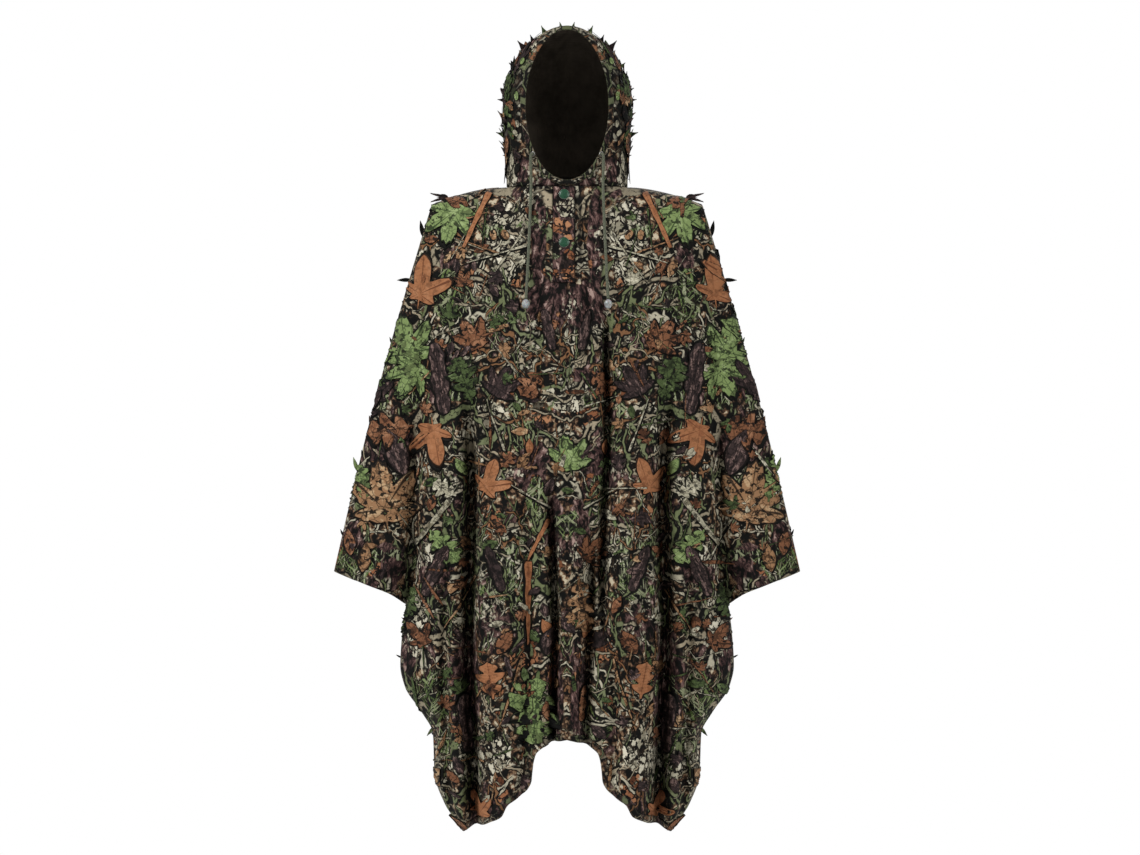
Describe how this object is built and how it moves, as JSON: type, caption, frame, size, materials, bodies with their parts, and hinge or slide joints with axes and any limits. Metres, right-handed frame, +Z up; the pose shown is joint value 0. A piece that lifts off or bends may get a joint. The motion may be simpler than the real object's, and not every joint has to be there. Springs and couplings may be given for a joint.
{
  "type": "hooded leaf camouflage poncho",
  "caption": "Hooded camouflage poncho of leaf-printed cloth with cut-out leaf flaps, wide open sleeves, a snap placket and a hood drawcord.",
  "frame": {"origin": "middle of the neck, level with the shoulders that carry the garment", "axes": "+Z up, -Y the wearer's front, +X the wearer's left"},
  "size_m": [0.802, 0.3141, 1.3849],
  "materials": {
    "leaf_cloth": "printed polyester mesh with leaf cut-outs",
    "hem_cloth": "turned and stitched hem",
    "lining_cloth": "plain woven tape",
    "cord": "braided olive cord",
    "snap_paint": "satin green enamel",
    "steel": "nickel-plated",
    "bead_plastic": "translucent grey-white",
    "leaf_green": "heat-cut printed leaf",
    "leaf_brown": "heat-cut printed leaf"
  },
  "bodies": {
    "cape": {"front_left_panel": "leaf_cloth", "front_left_hem": "hem_cloth", "back_left_panel": "leaf_cloth", "back_left_hem": "hem_cloth", "collar_left": "leaf_cloth", "eyelet_left": "steel", "leaf_shoulder_left": "leaf_green", "front_right_panel": "leaf_cloth", "front_right_hem": "hem_cloth", "back_right_panel": "leaf_cloth", "back_right_hem": "hem_cloth", "collar_right": "leaf_cloth", "eyelet_right": "steel", "leaf_shoulder_right": "leaf_green", "face_hem_throat": "hem_cloth", "neck_tape": "lining_cloth", "placket_underlap": "leaf_cloth", "snap_stud_upper": "steel", "snap_post_upper": "steel", "snap_stud_lower": "steel", "snap_post_lower": "steel"},
    "hood": {"hood_left_panel": "leaf_cloth", "leaf_crown_left": "leaf_green", "leaf_brow_left": "leaf_green", "leaf_temple_left": "leaf_brown", "leaf_cheek_left": "leaf_brown", "leaf_jaw_left": "leaf_green", "hood_right_panel": "leaf_cloth", "leaf_crown_right": "leaf_green", "leaf_brow_right": "leaf_green", "leaf_temple_right": "leaf_brown", "leaf_cheek_right": "leaf_brown", "leaf_jaw_right": "leaf_green", "hood_crown_tape": "hem_cloth", "face_hem": "hem_cloth"},
    "placket": {"placket_flap": "leaf_cloth", "snap_cap_upper": "snap_paint", "snap_socket_upper": "steel", "snap_cap_lower": "snap_paint", "snap_socket_lower": "steel"},
    "left_wing": {"left_sleeve_front": "leaf_cloth", "left_sleeve_hem_front": "hem_cloth", "left_sleeve_back": "leaf_cloth", "left_sleeve_hem_back": "hem_cloth", "leaf_upper_arm_left": "leaf_brown", "leaf_mid_arm_left": "leaf_brown", "leaf_lower_arm_left": "leaf_green"},
    "right_wing": {"right_sleeve_front": "leaf_cloth", "right_sleeve_hem_front": "hem_cloth", "right_sleeve_back": "leaf_cloth", "right_sleeve_hem_back": "hem_cloth", "leaf_upper_arm_right": "leaf_brown", "leaf_mid_arm_right": "leaf_brown", "leaf_lower_arm_right": "leaf_green"},
    "left_cord_end": {"drawcord_left": "cord", "cord_end_left": "bead_plastic"},
    "right_cord_end": {"drawcord_right": "cord", "cord_end_right": "bead_plastic"}
  },
  "joints": [
    {"name": "hood_fold", "type": "hinge", "parent": "cape", "child": "hood", "pos_m": [0, 0.106, 0.07], "axis": [-1, 0, 0], "range_deg": [0, 110]},
    {"name": "placket_open", "type": "hinge", "parent": "cape", "child": "placket", "pos_m": [-0.024, -0.10814, -0.07803], "axis": [0, -0.1973, -0.9804], "range_deg": [0, 110]},
    {"name": "left_arm_raise", "type": "hinge", "parent": "cape", "child": "left_wing", "pos_m": [0.232, 0, -0.02], "axis": [0, -1, 0], "range_deg": [0, 40]},
    {"name": "right_arm_raise", "type": "hinge", "parent": "cape", "child": "right_wing", "pos_m": [-0.232, 0, -0.02], "axis": [0, 1, 0], "range_deg": [0, 40]},
    {"name": "left_cord_pull", "type": "slide", "parent": "cape", "child": "left_cord_end", "axis": [0, 0, -1], "range_m": [0, 0.1], "deforming": ["drawcord_left"]},
    {"name": "right_cord_pull", "type": "slide", "parent": "cape", "child": "right_cord_end", "axis": [0, 0, -1], "range_m": [0, 0.1], "deforming": ["drawcord_right"]}
  ]
}
